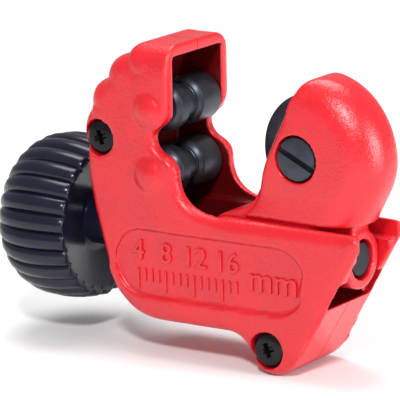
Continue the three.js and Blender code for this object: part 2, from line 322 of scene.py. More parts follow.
# ---- materials ----
def node_group(name, inputs, outputs):
    """An empty shader group with named sockets, and its input and output nodes."""
    tree = bpy.data.node_groups.new(name, "ShaderNodeTree")
    for socket, default in inputs:
        made = tree.interface.new_socket(socket, in_out="INPUT", socket_type="NodeSocketFloat")
        made.default_value = default
    for socket in outputs:
        tree.interface.new_socket(socket, in_out="OUTPUT", socket_type="NodeSocketFloat")
    return tree, tree.nodes.new("NodeGroupInput"), tree.nodes.new("NodeGroupOutput")


def math_node(tree, operation, a, b):
    node = tree.nodes.new("ShaderNodeMath")
    node.operation = operation
    for socket, value in zip(node.inputs, (a, b)):
        if isinstance(value, (int, float)):
            socket.default_value = value
        else:
            tree.links.new(value, socket)
    return node.outputs[0]


def noise(tree, vector, scale, detail=2.0, roughness=0.5):
    node = tree.nodes.new("ShaderNodeTexNoise")
    node.inputs["Detail"].default_value = detail
    node.inputs["Roughness"].default_value = roughness
    tree.links.new(vector, node.inputs["Vector"])
    if isinstance(scale, (int, float)):
        node.inputs["Scale"].default_value = scale
    else:
        tree.links.new(scale, node.inputs["Scale"])
    return node.outputs["Fac"]


def object_coordinates(tree):
    return tree.nodes.new("ShaderNodeTexCoord").outputs["Object"]


def grain_group():
    """Fine grain over slower waves, as sprayed paint or moulded plastic has."""
    tree, source, out = node_group(
        "Surface grain", [("Size mm", 0.3), ("Waves", 0.4)], ["Height", "Patches"])
    coords = object_coordinates(tree)
    scale = math_node(tree, "DIVIDE", 1 / MM, source.outputs["Size mm"])
    fine = noise(tree, coords, scale, 3, 0.6)
    slow = noise(tree, coords, math_node(tree, "MULTIPLY", scale, 0.28), 2)
    waves = math_node(tree, "MULTIPLY", slow, source.outputs["Waves"])
    tree.links.new(math_node(tree, "ADD", fine, waves), out.inputs["Height"])
    tree.links.new(noise(tree, coords, 140, 3), out.inputs["Patches"])
    return tree


def lathe_marks_group():
    """Fine rings left by turning. Along X is 1 for a piece turned about X and 0 for one about Y."""
    tree, source, out = node_group(
        "Turning marks", [("Per mm", 5.0), ("Along X", 0.0)], ["Height", "Smudges"])
    coords = object_coordinates(tree)
    split = tree.nodes.new("ShaderNodeSeparateXYZ")
    tree.links.new(coords, split.inputs[0])
    share = math_node(tree, "SUBTRACT", 1, source.outputs["Along X"])
    along_y = math_node(tree, "MULTIPLY", split.outputs["Y"], share)
    along_x = math_node(tree, "MULTIPLY", split.outputs["X"], source.outputs["Along X"])
    along = math_node(tree, "MULTIPLY", math_node(tree, "ADD", along_x, along_y), 2 * math.pi / MM)
    phase = math_node(tree, "MULTIPLY", along, source.outputs["Per mm"])
    rings = math_node(tree, "SINE", phase, 0)
    speck = noise(tree, coords, 5200, 2)
    tree.links.new(math_node(tree, "ADD", math_node(tree, "MULTIPLY", rings, 0.25), speck),
                   out.inputs["Height"])
    tree.links.new(noise(tree, coords, 420, 4, 0.6), out.inputs["Smudges"])
    return tree


def hollow_group():
    """Where the body's hollow lies, about the frame's middle plane: 1 in it and 0 outside. It marks where
    painted shade darkens the shells' paint.
    """
    limits = [
        ("Half Width mm", 6.3), ("Left mm", -8), ("Right mm", 27), ("Floor mm", 10), ("Roof mm", 46)]
    tree, source, out = node_group("Hollow", limits, ["Mask"])
    split = tree.nodes.new("ShaderNodeSeparateXYZ")
    tree.links.new(object_coordinates(tree), split.inputs[0])
    x, y, z = (math_node(tree, "DIVIDE", split.outputs[axis], MM) for axis in "XYZ")
    off_middle = math_node(tree, "ABSOLUTE", y, 0)
    mask = math_node(tree, "LESS_THAN", off_middle, source.outputs["Half Width mm"])
    for value, low, high in ((x, "Left mm", "Right mm"), (z, "Floor mm", "Roof mm")):
        above = math_node(tree, "GREATER_THAN", value, source.outputs[low])
        below = math_node(tree, "LESS_THAN", value, source.outputs[high])
        mask = math_node(tree, "MULTIPLY", mask, math_node(tree, "MULTIPLY", above, below))
    tree.links.new(mask, out.inputs["Mask"])
    return tree


def shared_group(name, make):
    return bpy.data.node_groups.get(name) or make()


class Finish:
    """A material being wired up: its Principled shader and its tree."""

    def __init__(self, name, metallic=0.0, coat=0.0, coat_roughness=0.1, ior=1.5):
        self.material = bpy.data.materials.new(name)
        self.material.use_nodes = True
        self.tree = self.material.node_tree
        self.shader = self.tree.nodes["Principled BSDF"]
        self.shader.inputs["Metallic"].default_value = metallic
        self.shader.inputs["Coat Weight"].default_value = coat
        self.shader.inputs["Coat Roughness"].default_value = coat_roughness
        self.shader.inputs["IOR"].default_value = ior

    def group(self, tree, **values):
        node = self.tree.nodes.new("ShaderNodeGroup")
        node.node_tree = tree
        for key, value in values.items():
            node.inputs[key.replace("_", " ")].default_value = value
        return node

    def ramp(self, value, low, high, start=0.3, end=0.7):
        node = self.tree.nodes.new("ShaderNodeMapRange")
        for key, number in (("From Min", start), ("From Max", end), ("To Min", low), ("To Max", high)):
            node.inputs[key].default_value = number
        self.tree.links.new(value, node.inputs["Value"])
        return node.outputs["Result"]

    def roughness(self, value, low, high):
        self.tree.links.new(self.ramp(value, low, high), self.shader.inputs["Roughness"])

    def colour(self, value, dark, light):
        node = self.tree.nodes.new("ShaderNodeMix")
        node.data_type = "RGBA"
        node.inputs["A"].default_value = (*dark, 1)
        node.inputs["B"].default_value = (*light, 1)
        self.tree.links.new(self.ramp(value, 0, 1), node.inputs["Factor"])
        self.tree.links.new(node.outputs["Result"], self.shader.inputs["Base Color"])
        return node.outputs["Result"]

    def mix_in_painted_shade(self, colour, mask, shade):
        """Paints shade: mixes the colour towards a darker tone where the mask is 1."""
        node = self.tree.nodes.new("ShaderNodeMix")
        node.data_type = "RGBA"
        node.inputs["B"].default_value = (*shade, 1)
        self.tree.links.new(colour, node.inputs["A"])
        self.tree.links.new(mask, node.inputs["Factor"])
        self.tree.links.new(node.outputs["Result"], self.shader.inputs["Base Color"])

    def bump(self, height, strength, depth_mm):
        node = self.tree.nodes.new("ShaderNodeBump")
        node.inputs["Strength"].default_value = strength
        node.inputs["Distance"].default_value = depth_mm * MM
        self.tree.links.new(height, node.inputs["Height"])
        self.tree.links.new(node.outputs["Normal"], self.shader.inputs["Normal"])


def tinted(colour, factor):
    return tuple(min(1.0, c * factor) for c in colour)


def finished(name, make):
    return bpy.data.materials.get(name) or make(name)


def paint(name, hollow=False):
    """Satin red paint with a fine orange peel; when asked, painted shade darkens the body's hollow and
    the carriage's channel.
    """
    s = settings()
    f = Finish(name, coat=0.05, coat_roughness=0.2, ior=1.55)
    grain = f.group(shared_group("Surface grain", grain_group), Size_mm=s.peel_size, Waves=0.5)
    red = f.colour(grain.outputs["Patches"], tinted(s.paint, 0.92), tinted(s.paint, 1.05))
    # Painted shade: inside the hollow and the channel the red is mixed down to a sixth of itself, where
    # shade falls.
    if hollow:
        x, z = SCREW_AXIS.x / MM, SCREW_AXIS.z / MM
        hollow = shared_group("Hollow", hollow_group)
        upper = f.group(
            hollow, Half_Width_mm=CAVITY_HALF + 0.03, Left_mm=x - 8.25, Right_mm=x + 7.0,
            Floor_mm=z + 3.5, Roof_mm=z + HOOD_TOP - WALL_TOP + 0.05)
        lower = f.group(
            hollow, Half_Width_mm=CHANNEL_HALF + 0.03, Left_mm=x - 6.9, Right_mm=x + 26.4,
            Floor_mm=z + CHANNEL_FLOOR - 0.05, Roof_mm=z + BAR_TOP - 0.5)
        mask = math_node(f.tree, "MAXIMUM", upper.outputs["Mask"], lower.outputs["Mask"])
        f.mix_in_painted_shade(red, mask, tinted(s.paint, 0.16))
    f.roughness(grain.outputs["Patches"], s.paint_roughness - 0.04, s.paint_roughness + 0.06)
    f.bump(grain.outputs["Height"], 0.8, 0.09)
    return f.material


def paint_with_painted_shade(name):
    """The paint of the shells, with painted shade darkening their hollow and channel."""
    return paint(name, hollow=True)


def knob_plastic(name):
    """Glossy moulded plastic, dark navy, with a faint mould texture."""
    s = settings()
    f = Finish(name, coat=0.1, coat_roughness=0.1, ior=1.38)
    grain = f.group(shared_group("Surface grain", grain_group), Size_mm=0.5, Waves=1.2)
    f.colour(grain.outputs["Patches"], tinted(s.plastic, 0.85), tinted(s.plastic, 1.25))
    f.roughness(grain.outputs["Patches"], 0.2, 0.32)
    f.bump(grain.outputs["Height"], 0.25, 0.02)
    return f.material


def oxide_steel(name):
    """Turned steel under black oxide."""
    s = settings()
    f = Finish(name, metallic=0.75)
    marks = f.group(shared_group("Turning marks", lathe_marks_group), Per_mm=4.0)
    f.colour(marks.outputs["Smudges"], tinted(s.oxide, 0.75), tinted(s.oxide, 1.35))
    f.roughness(marks.outputs["Smudges"], 0.3, 0.44)
    f.bump(marks.outputs["Height"], 0.3, 0.012)
    return f.material


def black_screw(name):
    """Glossy black plated screw."""
    f = Finish(name, metallic=0.7, coat=0.12, coat_roughness=0.08, ior=1.4)
    grain = f.group(shared_group("Surface grain", grain_group), Size_mm=0.25, Waves=0.8)
    f.colour(grain.outputs["Patches"], (0.006, 0.006, 0.007), (0.016, 0.016, 0.018))
    f.roughness(grain.outputs["Patches"], 0.18, 0.3)
    f.bump(grain.outputs["Height"], 0.3, 0.012)
    return f.material


def plain_steel(name):
    """Dull dark steel with turning marks round the lead screw's axis."""
    f = Finish(name, metallic=0.9)
    marks = f.group(shared_group("Turning marks", lathe_marks_group), Per_mm=3.0, Along_X=1.0)
    f.colour(marks.outputs["Smudges"], (0.022, 0.022, 0.026), (0.05, 0.05, 0.056))
    f.roughness(marks.outputs["Smudges"], 0.3, 0.5)
    f.bump(marks.outputs["Height"], 0.35, 0.012)
    return f.material


# ---- the housing ----
def taper(x):
    """How much of the arm's thickness the body keeps at this distance along it."""
    along = max(0.0, min(1.0, (x - TAPER_START) / (BODY_RIGHT - TAPER_START)))
    return 1 - along * (1 - END_HALF / ARM_HALF)


def apply_taper(obj):
    """Cuts the mesh into strips along X and thins each strip towards the right end."""
    bm = bmesh.new()
    bm.from_mesh(obj.data)
    strips = 8
    for i in range(strips + 1):
        x = TAPER_START + i * (BODY_RIGHT - TAPER_START) / strips
        geom = bm.verts[:] + bm.edges[:] + bm.faces[:]
        bmesh.ops.bisect_plane(bm, geom=geom, plane_co=(x, 0, 0), plane_no=(1, 0, 0), dist=1e-4)
    for v in bm.verts:
        v.co.y *= taper(v.co.x)
    bm.to_mesh(obj.data)
    bm.free()
    return obj


NOTCHES = ((-15.2, 12.9), (-14.5, 19.6), (-11.6, 24.2), (-7.8, 28.2), (-3.6, 30.0))


def body_outline():
    """The body at the seam, without the finger scallops, which are joined on as lobes."""
    return path(
        (-10.9, -6.4), (-12.1, -2.6), (-14.0, 4), (-14.9, 8.9), *NOTCHES, (MOUTH_X, HOOD_TOP - 0.02),
        (MOUTH_X, 19.8), ((-0.1, 18.8), (-1.5, 17.8)), ((-3.2, 16.6), (-2.5, 15.1)),
        ((-2.1, 14.1), (-0.6, 13.5)), ((1.5, 12.6), (1.4, 10.2)), ((1.8, 5.7), (7.4, BAR_TOP)),
        (BODY_RIGHT - 0.8, BAR_TOP), ((BODY_RIGHT, BAR_TOP), (BODY_RIGHT, BAR_TOP - 0.8)),
        (BODY_RIGHT, 2.8), (26.8, CHANNEL_FLOOR), (21.4, -15.9), ((19.5, -18.0), (17.4, -18.0)),
        ((15.2, -17.9), (14.2, -16.2)), ((12.7, BODY_BOTTOM), (9.4, BODY_BOTTOM)),
        (-3.0, BODY_BOTTOM), ((-8.9, -12.0), (-10.9, -6.4)))[:-1]


def body_rim(x, z):
    """How round the body's rim is here, as a share of its largest fillet."""
    if z > 28 and x < MOUTH_X - 0.1:
        return 1.0
    if x > MOUTH_X - 0.3 and z > 19.7:
        return 0.13
    if x > -3.5 and 11.5 < z <= 19.7:
        return 0.23
    if -0.5 < x < 7.5 and BAR_TOP - 0.1 < z <= 11.5:
        return 0.29
    if x >= 7.5 and z > BAR_TOP - 0.1:
        return 0.44
    if x > 20 and z < BAR_TOP:
        return 0.27
    if x < -9 and z < 12.9:
        return 0.27
    return 0.45


def lobe(start, end, bulge):
    """A finger scallop between two notches: a rod across the body with well-rounded ends."""
    a, b = Vector(start), Vector(end)
    chord = b - a
    radius = (chord.length ** 2 / 4 + bulge ** 2) / (2 * bulge)
    outward = Vector((-chord.y, chord.x)).normalized()
    centre = (a + b) / 2 + outward * (bulge - radius)
    return rod(radius, -ARM_HALF, ARM_HALF, "Y", (centre.x, 0, centre.y), 64, 2.6)


def scallops():
    bulges = (1.2, 1.2, 1.15, 0.92)
    return [lobe(a, b, bulge) for a, b, bulge in zip(NOTCHES, NOTCHES[1:], bulges)]


def pads():
    """The raised pads over the roller pins' ends."""
    radius, height = 2.7, 0.9
    ball = (radius ** 2 + height ** 2) / (2 * height)
    made = []
    for at in ROLLERS_AT.values():
        for side in (-1, 1):
            bm = bmesh.new()
            bmesh.ops.create_uvsphere(bm, u_segments=40, v_segments=24, radius=ball)
            y = side * (ARM_HALF + height - ball)
            bmesh.ops.translate(bm, vec=(at.x, y, at.z), verts=bm.verts)
            geom = bm.verts[:] + bm.edges[:] + bm.faces[:]
            inside = bmesh.ops.bisect_plane(
                bm, geom=geom, plane_co=(0, side * (ARM_HALF - 0.4), 0), plane_no=(0, side, 0),
                clear_inner=True)
            rim = [e for e in inside["geom_cut"] if isinstance(e, bmesh.types.BMEdge)]
            bmesh.ops.contextual_create(bm, geom=rim)
            made.append(as_object(bm, "pad"))
    return made


def panel_cutter(side):
    """The recessed panel with round ends on a shell's face."""
    end, middle = 5.2, -3.3
    outline = arc((-4.8, middle), end, 90, 270, 20) + arc((18.3, middle), end, -90, 90, 20)
    ys = sorted((side * (ARM_HALF - PANEL_DEPTH), side * (ARM_HALF + 3)))
    return apply_taper(plate(outline, *ys))


def screw_cutters(node):
    """The stepped hole of a body screw: its counterbore and the hole for its shank."""
    low, high = node_span(node)
    at = ((low.x + high.x) / 2, 0, (low.z + high.z) / 2)
    seat = low.y + 1.7
    return [rod(2.85, low.y - 4, seat, "Y", at, 48), rod(1.6, low.y, high.y + 0.3, "Y", at, 32)]


def cavity():
    top = HOOD_TOP - WALL_TOP
    outline = [(8.2, top), (-4.4, top), (-7.0, 26.4), (-8.2, 22.5), (-8.2, 4.4), (8.2, 4.4)]
    return plate(outline, -CAVITY_HALF, CAVITY_HALF)


def channel():
    """The carriage's channel. Near its end the walls close in round the boss."""
    guide_left, low, high, lip = 25.6, -2.6, 2.4, 6.0
    trough = block((-6.8, -CHANNEL_HALF, CHANNEL_FLOOR), (40, CHANNEL_HALF, 12))
    guides = block((guide_left, -lip, low), (BODY_RIGHT - 1.0, lip, high), 0.45)
    combine(guides, [rod(BOSS_R + 0.3, 0, 60, "X", steps=96)], "DIFFERENCE")
    wide = block((guide_left, -lip, CHANNEL_FLOOR), (40, lip, low))
    combine(trough, [wide], "UNION")
    return combine(trough, [guides], "DIFFERENCE")


def hood_corners():
    """What the hood's large top fillets take away."""
    left = -9.0
    made = []
    for side in (-1, 1):
        y, z = side * (ARM_HALF - HOOD_FILLET), HOOD_TOP - HOOD_FILLET
        ys = sorted((y, side * (ARM_HALF + 1)))
        corner = block((left, ys[0], z), (MOUTH_X + 1, ys[1], HOOD_TOP + 1))
        round_top = rod(HOOD_FILLET, left - 1, MOUTH_X + 2, "X", (0, y, z), 96)
        made.append(combine(corner, [round_top], "DIFFERENCE"))
    return made


def housing():
    """Both shells as one casting, before the seam parts them."""
    s = settings()
    body = plate(body_outline(), -ARM_HALF, ARM_HALF, body_rim)
    bevel_by_weight(body, BODY_FILLET, 8)
    apply_taper(body)
    combine(body, scallops() + pads(), "UNION")
    hollows = [
        cavity(),
        channel(),
        *hood_corners(),
        block((MOUTH_X, -12, 19.8), (8, 12, 40)),
        rod(SCREW_R + 0.05, -24, 0, "X"),
        rod(4.8, -24, -11.2, "X"),
        rod(5.2, -8.9, -5.5, "X"),
        panel_cutter(-1),
        panel_cutter(1),
    ]
    for at in ROLLERS_AT.values():
        hollows.append(rod(1.5, -7.7, 7.7, "Y", at, 32))
    for node in BODY_SCREWS:
        hollows += screw_cutters(node)
    combine(body, hollows, "DIFFERENCE")
    return cast(body, s.voxel * (1), 5)


def half(casting, side, name):
    """One shell: the casting on one side of the seam, with its cut closed."""
    bm = bmesh.new()
    bm.from_mesh(casting.data)
    geom = bm.verts[:] + bm.edges[:] + bm.faces[:]
    cut = bmesh.ops.bisect_plane(
        bm, geom=geom, plane_co=(0, side * SEAM_GAP / 2, 0), plane_no=(0, side, 0), clear_inner=True)
    rim = [e for e in cut["geom_cut"] if isinstance(e, bmesh.types.BMEdge)]
    bmesh.ops.triangle_fill(bm, edges=rim, use_beauty=True, normal=(0, -side, 0))
    bmesh.ops.recalc_face_normals(bm, faces=bm.faces)
    mesh = bpy.data.meshes.new(name)
    bm.to_mesh(mesh)
    bm.free()
    obj = bpy.data.objects.new(name, mesh)
    bpy.context.scene.collection.objects.link(obj)
    return obj


class TUBECUTTER_OT_shells(bpy.types.Operator):
    """Cast the body, part it along the seam and paint both shells"""
    bl_idname = "tubecutter.shells"
    bl_label = "Body Shells"

    def execute(self, context):
        casting = housing()
        # The shells' red, with painted shade in their hollow and channel.
        red = finished("satin_red_shell_paint", paint_with_painted_shade)
        for name, node, side in (("body_front", "front_shell", -1), ("body_rear", "rear_shell", 1)):
            shell = half(casting, side, name)
            put_in_frame(shell, name, red, "housing", [node], CAST_SHARP)
        discard(casting)
        return {"FINISHED"}


# ---- the size scale in the panel ----
def raised_text(words, size, x, z, thickness):
    """Raised lettering that faces the front, with its baseline at x and z."""
    data = bpy.data.curves.new("lettering", "FONT")
    data.body = words
    data.size = size
    data.extrude = thickness / 2
    data.bevel_depth = 0.09
    data.bevel_resolution = 2
    data.offset = -0.03
    data.resolution_u = 6
    obj = bpy.data.objects.new("lettering", data)
    bpy.context.scene.collection.objects.link(obj)
    depsgraph = bpy.context.evaluated_depsgraph_get()
    mesh = bpy.data.meshes.new_from_object(obj.evaluated_get(depsgraph))
    bpy.data.objects.remove(obj)
    bpy.data.curves.remove(data)
    mesh.transform(Matrix.Translation((x, 0, z)) @ Matrix.Rotation(math.pi / 2, 4, "X"))
    return mesh


def on_panel(mesh):
    """Lays a flat mesh on the tapered floor of the front panel."""
    for v in mesh.vertices:
        v.co.y -= (ARM_HALF - PANEL_DEPTH) * taper(v.co.x)


class TUBECUTTER_OT_size_scale(bpy.types.Operator):
    """Raise a plain millimetre scale of tube sizes on the front panel"""
    bl_idname = "tubecutter.size_scale"
    bl_label = "Size Scale"

    def execute(self, context):
        bm = bmesh.new()
        words = [("4", 4.4, -6.9, -2.9), ("8", 4.4, -1.9, -2.9), ("12", 4.4, 2.1, -2.9),
                 ("16", 4.4, 7.7, -2.9), ("mm", 5.6, 13.6, -5.2)]
        thickness = 0.5
        for text, size, x, z in words:
            mesh = raised_text(text, size, x, z, thickness)
            bm.from_mesh(mesh)
            bpy.data.meshes.remove(mesh)
        first_mark, mark_step, mark_top = -5.9, 1.25, -4.2
        for i in range(15):
            tall = 3.4 if i % 4 == 0 else 2.0
            x = first_mark + i * mark_step
            mark = bmesh.ops.create_cube(bm, size=1)["verts"]
            bmesh.ops.scale(bm, vec=(0.36, thickness, tall), verts=mark)
            bmesh.ops.translate(bm, vec=(x, 0, mark_top - tall / 2), verts=mark)
            edges = list({e for v in mark for e in v.link_edges})
            round_edges(bm, edges, 0.09, 2)
        bmesh.ops.remove_doubles(bm, verts=bm.verts, dist=1e-4)
        obj = as_object(bm, "size_scale")
        on_panel(obj.data)
        red = finished("satin_red_paint", paint)
        put_in_frame(obj, "size_scale", red, "housing", [], 40)
        return {"FINISHED"}


# ---- the carriage ----
def dome_outline():
    """The dome over the wheel, drawn down to the screw's axis and cut off above the bar later."""
    return path(
        (10.4, 0), (10.4, DOME_FLOOR), (12.4, 6.5), ((13.6, 7.6), (14.2, 10.2)),
        ((14.4, 12.4), (15.5, 14.9)), (20.6, 25.4), ((21.5, 27.0), (23.5, 27.1)),
        ((26.8, 27.2), (29.9, 24.5)), ((33.9, 20.6), (34.2, 15.0)), ((34.3, 12.2), (32.6, 9.2)),
        (28.0, 0.6), steps=10)


def dome_rim(x, z):
    """The dome's rim is round over the top and back, and tight at the wheel's side."""
    if z < 0.5:
        return 0.0
    if x < 20.7 and z < 25.6:
        return 0.2
    if x < 26.0 and z > 24:
        return 0.25 + 0.75 * max(0, x - 20.6) / 5.4
    return 1.0


def crown_dome(obj):
    """Swells the dome's cheeks, so that they fall away towards its rim."""
    middle = Vector((24.4, 0, 15.2))
    for v in obj.data.vertices:
        if v.co.z > BAR_TOP:
            away = Vector((v.co.x - middle.x, 0, v.co.z - middle.z)).length / 12.5
            rise = min(1.0, (v.co.z - BAR_TOP) / 4)
            v.co.y *= 1 - 0.12 * rise * min(1.0, away) ** 2


def carriage():
    s = settings()
    half_width = CHANNEL_HALF - 0.3
    dome = plate(dome_outline(), -DOME_HALF, DOME_HALF, dome_rim)
    bevel_by_weight(dome, DOME_FILLET, 10)
    combine(dome, [block((0, -8, -4), (40, 8, DOME_FLOOR))], "DIFFERENCE")
    cast(dome, s.voxel * 1.4, 16)
    foot = [
        (8, CHANNEL_FLOOR + 0.3), (18.5, CHANNEL_FLOOR + 0.3), (21.5, -3.4), (21.5, 2),
        (23.5, BAR_TOP), (25.5, BAR_TOP + 0.6), (25.5, 9), (14.0, 9.6), (13.2, 8), (12, 6.8), (10, 6),
        (7.8, 5.4), (6.6, 4.6), (8, 3.2)]
    parts = [
        plate(foot, -half_width, half_width),
        rod(BOSS_R, 18, BOSS_FACE, "X", steps=96, bevel=0.45),
        block((20, -2.3, 2.6), (BOSS_FACE - 0.3, 2.3, BAR_TOP + 1.4), 0.4),
    ]
    combine(dome, parts, "UNION")
    wheel, slot = WHEEL_AT, WHEEL_SLOT_HALF
    slot_radius, head_depth = 9.8, 1.9
    hollows = [
        rod(slot_radius, -slot, slot, "Y", wheel, 96),
        block((wheel.x - 14, -slot, wheel.z - 8.3), (wheel.x, slot, wheel.z + slot_radius)),
        rod(SCREW_R + 0.03, 0, 40, "X"),
        rod(3.6, -9, -DOME_HALF + head_depth, "Y", wheel, 64),
        rod(2.5, -9, 9, "Y", wheel, 48),
    ]
    combine(dome, hollows, "DIFFERENCE")
    cast(dome, s.voxel * (0.84), 3)
    crown_dome(dome)
    return dome


class TUBECUTTER_OT_carriage(bpy.types.Operator):
    """Cast and paint the sliding carriage with its dome over the cutting wheel"""
    bl_idname = "tubecutter.carriage"
    bl_label = "Carriage"

    def execute(self, context):
        put_in_frame(carriage(), "jaw_casting", finished("satin_red_paint", paint), "jaw", ["carriage"],
                     CAST_SHARP)
        return {"FINISHED"}


# ---- rollers, pins and wheel ----
def roller_profile(front, rear):
    """The roller's bore, its ends with broad chamfers, and the groove for the wheel's edge."""
    bore, land, core = 1.45, 3.7, 2.75
    groove_front, groove_rear = -1.8, 0.6
    return [
        (bore, front + 0.3), (bore + 0.3, front), (land - 0.72, front), (land - 0.62, front + 0.05),
        (land - 0.08, front + 0.62), (land, front + 0.75), (land, groove_front - 0.62),
        (land - 0.08, groove_front - 0.5), (land - 0.6, groove_front - 0.04), (land - 0.7, groove_front),
        (core + 0.1, groove_front), (core, groove_front + 0.1), (core, groove_rear - 0.1),
        (core + 0.1, groove_rear), (land - 0.7, groove_rear), (land - 0.6, groove_rear + 0.04),
        (land - 0.08, groove_rear + 0.58), (land, groove_rear + 0.7), (land, rear - 0.4),
        (land - 0.06, rear - 0.25), (land - 0.3, rear), (bore + 0.3, rear), (bore, rear - 0.3),
        (bore, front + 0.3)]


def wheel_profile():
    bore, hub, edge = 2.45, 2.3, 9.0
    outer = [
        (edge, 0.0), (edge - 0.12, 0.05), (7.0, 0.92), (6.7, 1.0), (5.0, 1.06), (4.8, 1.2),
        (4.62, 1.5), (4.5, hub - 0.25), (4.3, hub), (bore + 0.25, hub), (bore, hub - 0.25)]
    mirrored = [(r, -h) for r, h in reversed(outer[1:])]
    return mirrored + outer + [mirrored[0]]


class TUBECUTTER_OT_rollers(bpy.types.Operator):
    """Turn the two grooved rollers and finish their pins"""
    bl_idname = "tubecutter.rollers"
    bl_label = "Rollers"

    def execute(self, context):
        black = finished("oxide_turned_steel", oxide_steel)
        for node, body in (("upper_roller", "roller_top"), ("lower_roller", "roller_bottom")):
            low, high = node_span(node)
            roller = turned(roller_profile(low.y, high.y), "Y", 96, ROLLERS_AT[node])
            put_in_frame(roller, node + "_turned", black, body, [node], TURNED_SHARP)
            pin = rod(1.25, -7.5, 7.5, "Y", ROLLERS_AT[node], 40, 0.2)
            put_in_frame(pin, node + "_steel_pin", finished("dull_oiled_steel", plain_steel), "housing",
                         [node + "_pin"], TURNED_SHARP)
        return {"FINISHED"}


class TUBECUTTER_OT_cutting_wheel(bpy.types.Operator):
    """Turn the cutting wheel with its sharp edge and its hub"""
    bl_idname = "tubecutter.cutting_wheel"
    bl_label = "Cutting Wheel"

    def execute(self, context):
        wheel = turned(wheel_profile(), "Y", 160, WHEEL_AT)
        put_in_frame(wheel, "wheel_blade", finished("oxide_turned_steel", oxide_steel), "wheel",
                     ["cutter_wheel"], 24)
        return {"FINISHED"}


# ---- fasteners ----
def cross_recess(radius, depth, face, at):
    """The two tapered blades of a cross recess, which meet in a point."""
    made = []
    for turn in (0, 90):
        bm = bmesh.new()
        bmesh.ops.create_cone(
            bm, cap_ends=True, segments=4, radius1=0.28, radius2=1, depth=depth + 0.6)
        bmesh.ops.rotate(
            bm, cent=(0, 0, 0), matrix=Matrix.Rotation(math.pi / 4, 3, "Z"), verts=bm.verts)
        bmesh.ops.scale(bm, vec=(radius * 1.4, 0.8, 1), verts=bm.verts)
        turned_blade = Matrix.Rotation(math.radians(turn + 20), 3, "Z")
        bmesh.ops.rotate(
            bm, cent=(0, 0, 0), matrix=Matrix.Rotation(math.pi / 2, 3, "X") @ turned_blade,
            verts=bm.verts)
        bmesh.ops.translate(bm, vec=(at.x, face + depth / 2 - 0.3, at.z), verts=bm.verts)
        made.append(as_object(bm, "blade"))
    return made


def body_screw(node):
    low, high = node_span(node)
    at = Vector(((low.x + high.x) / 2, 0, (low.z + high.z) / 2))
    face = low.y
    head, shank, seat = 2.55, 1.35, face + 1.5
    dome = [(head * math.sin(a), face + 0.55 - 0.55 * math.cos(a) ** 0.8)
            for a in (i * math.pi / 16 for i in range(8))]
    profile = [(0, face)] + dome[1:] + [
        (head, face + 0.62), (head, seat - 0.15), (head - 0.15, seat), (shank, seat),
        (shank, high.y - 0.4), (shank - 0.4, high.y), (0, high.y)]
    screw = turned(profile, "Y", 64, (at.x, 0, at.z))
    return combine(screw, cross_recess(1.6, 1.1, face, at), "DIFFERENCE")


def axle_screw():
    """The slotted shoulder screw that the wheel turns on."""
    low, high = node_span("wheel_axle_screw")
    face, head, shank = low.y, 3.3, 2.3
    seat = face + 1.4
    profile = [
        (0, face), (head - 0.35, face), (head - 0.12, face + 0.08), (head, face + 0.3), (head, seat),
        (shank, seat), (shank, high.y - 0.3), (shank - 0.3, high.y), (0, high.y)]
    screw = turned(profile, "Y", 96, WHEEL_AT)
    bm = bmesh.new()
    bmesh.ops.create_cube(bm, size=1)
    bmesh.ops.scale(bm, vec=(9, 1.7, 0.95), verts=bm.verts)
    bmesh.ops.rotate(bm, cent=(0, 0, 0), matrix=Matrix.Rotation(math.radians(25), 3, "Y"), verts=bm.verts)
    bmesh.ops.translate(bm, vec=(WHEEL_AT.x, face, WHEEL_AT.z), verts=bm.verts)
    return combine(screw, [as_object(bm, "slot")], "DIFFERENCE")


class TUBECUTTER_OT_fasteners(bpy.types.Operator):
    """Make the two cross-recess body screws and the slotted axle screw"""
    bl_idname = "tubecutter.fasteners"
    bl_label = "Fasteners"

    def execute(self, context):
        for node in BODY_SCREWS:
            put_in_frame(body_screw(node), node + "_black", finished("black_plated_screw", black_screw),
                         "housing", [node], 30)
        put_in_frame(axle_screw(), "axle_screw_slotted", finished("oxide_turned_steel", oxide_steel),
                     "jaw", ["wheel_axle_screw"], 30)
        return {"FINISHED"}


# ---- the spindle ----
def thread(radius, depth, low, high, pitch):
    """A V thread wound by a helical spin, cut square at both ends and chamfered at the high one."""
    bm = bmesh.new()
    steps = 28
    turns = math.ceil((high - low) / pitch) + 2
    start = low - pitch
    crest, root = radius, radius - depth
    profile = [(crest, 0), (crest, 0.14), (root, 0.5), (root, 0.64), (crest, 1)]
    verts = [bm.verts.new((start + x * pitch, 0, r)) for r, x in profile]
    edges = [bm.edges.new(pair) for pair in zip(verts, verts[1:])]
    bmesh.ops.spin(
        bm, geom=verts + edges, angle=2 * math.pi * turns, steps=steps * turns, axis=(1, 0, 0),
        cent=(0, 0, 0), dvec=(pitch / steps, 0, 0))
    bmesh.ops.remove_doubles(bm, verts=bm.verts, dist=1e-3)
    for x, side in ((low, -1), (high, 1)):
        geom = bm.verts[:] + bm.edges[:] + bm.faces[:]
        cut = bmesh.ops.bisect_plane(
            bm, geom=geom, plane_co=(x, 0, 0), plane_no=(side, 0, 0), clear_outer=True)
        rim = [e for e in cut["geom_cut"] if isinstance(e, bmesh.types.BMEdge)]
        bmesh.ops.contextual_create(bm, geom=rim)
    for v in bm.verts:
        reach = Vector((v.co.y, v.co.z)).length
        limit = root + (high - v.co.x) * 0.8
        if reach > limit:
            v.co.y *= limit / reach
            v.co.z *= limit / reach
    return bm


def lead_screw():
    low, high = node_span("lead_screw")
    neck = -6.4
    clip_left, clip_right = -8.3, -7.4
    profile = [
        (0, low.x), (2.6, low.x), (2.9, low.x + 0.3), (2.9, -16.3), (2.7, -16), (2.7, clip_left),
        (2.1, clip_left), (2.1, clip_right), (2.7, clip_right), (2.7, neck - 0.2), (2.4, neck), (0, neck)]
    journal = turned(profile, "X", 48)
    bm = thread(2.93, 0.5, neck + 0.02, high.x, settings().thread_pitch)
    bm.from_mesh(journal.data)
    discard(journal)
    return as_object(bm, "lead_screw_thread")


